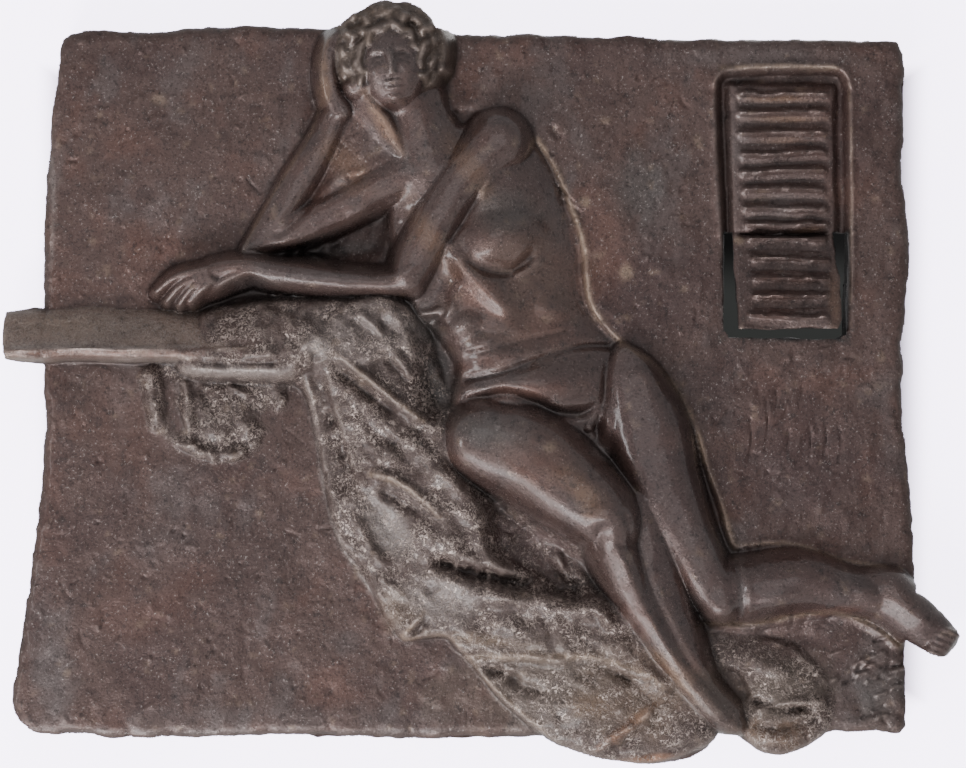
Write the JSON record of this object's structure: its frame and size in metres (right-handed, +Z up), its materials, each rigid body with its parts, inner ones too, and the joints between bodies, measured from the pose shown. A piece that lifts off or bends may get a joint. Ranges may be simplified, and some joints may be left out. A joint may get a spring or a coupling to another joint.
{
  "type": "relief plaque",
  "caption": "Wall relief cast in bronze: a reclining nude leaning on a draped table beside a louvred shutter, with a flat back.",
  "frame": {"origin": "middle of the flat back face, where it lies on the wall", "axes": "+X to the viewer's right along the plaque, +Y into the wall, +Z up"},
  "size_m": [0.5982, 0.0686, 0.4766],
  "materials": {
    "bronze": "dark brown patinated cast bronze, satin on the figure, dull and pitted on the ground, grainy on the cloth"
  },
  "bodies": {
    "root": {"relief_plaque": "bronze"}
  },
  "joints": []
}
